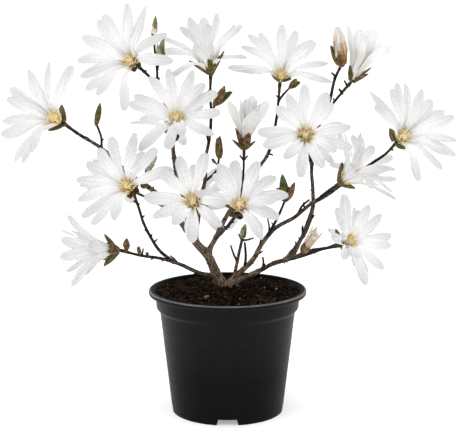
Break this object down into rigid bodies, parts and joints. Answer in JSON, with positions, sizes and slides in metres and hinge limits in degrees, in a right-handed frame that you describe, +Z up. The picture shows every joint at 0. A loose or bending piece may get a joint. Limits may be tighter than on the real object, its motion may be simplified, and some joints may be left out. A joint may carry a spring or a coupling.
{
  "type": "potted star magnolia shrub",
  "caption": "Leafless star magnolia in full flower: twiggy stems rise from one root collar in a round black plastic nursery pot filled with bark compost.",
  "frame": {"origin": "centre of the pot's foot, on the surface it stands on", "axes": "+Z up, -Y the front of the plant, +X its right-hand side seen from the front"},
  "size_m": [0.5345, 0.2925, 0.4887],
  "materials": {
    "pot": "black moulded nursery plastic, satin, a little dusty",
    "soil": "moist dark bark compost with tan chips",
    "bark": "brown bark with pale lenticels, darker on the twigs",
    "tepal": "soft white petal with fine lengthwise veins",
    "bud": "olive brown bud scales with short silky hair",
    "stamen": "golden yellow stamens round pale green carpels"
  },
  "bodies": {
    "root": {"pot": "pot", "soil": "soil", "trunk": "bark", "bough_far_left": "bark", "bough_high_left": "bark", "bough_top": "bark", "bough_middle": "bark", "bough_centre": "bark", "bough_low_left": "bark", "bough_left": "bark", "bough_right": "bark", "bough_far_right": "bark", "bough_low_right": "bark", "bough_upper_right": "bark", "bough_front_left": "bark", "bough_back_left": "bark", "bough_back_low": "bark", "bough_back_high": "bark", "bough_back_low_right": "bark", "bough_back_right": "bark", "bough_back_centre": "bark", "bough_back_far_right": "bark", "bloom_far_left": "tepal", "bloom_high_left": "tepal", "bloom_top": "tepal", "bloom_middle": "tepal", "bloom_centre": "tepal", "bloom_low_left": "tepal", "bloom_left": "tepal", "bloom_right": "tepal", "bloom_far_right": "tepal", "bloom_low_right": "tepal", "bloom_upper_right": "tepal", "bloom_upper_left": "tepal", "bloom_front_left": "tepal", "bloom_upper_middle": "tepal", "bloom_half_open": "tepal", "bloom_back_left": "tepal", "bloom_back_low": "tepal", "bloom_back_high": "tepal", "bloom_back_low_right": "tepal", "bloom_back_right": "tepal", "bloom_back_centre": "tepal", "bloom_back_far_right": "tepal", "bud_near_top_right": "bud", "bud_low_right": "bud", "bud_right": "bud", "bud_top": "bud", "bud_inner": "bud", "bud_high_left": "bud", "bud_far_left": "bud", "bud_low": "bud"}
  },
  "joints": []
}
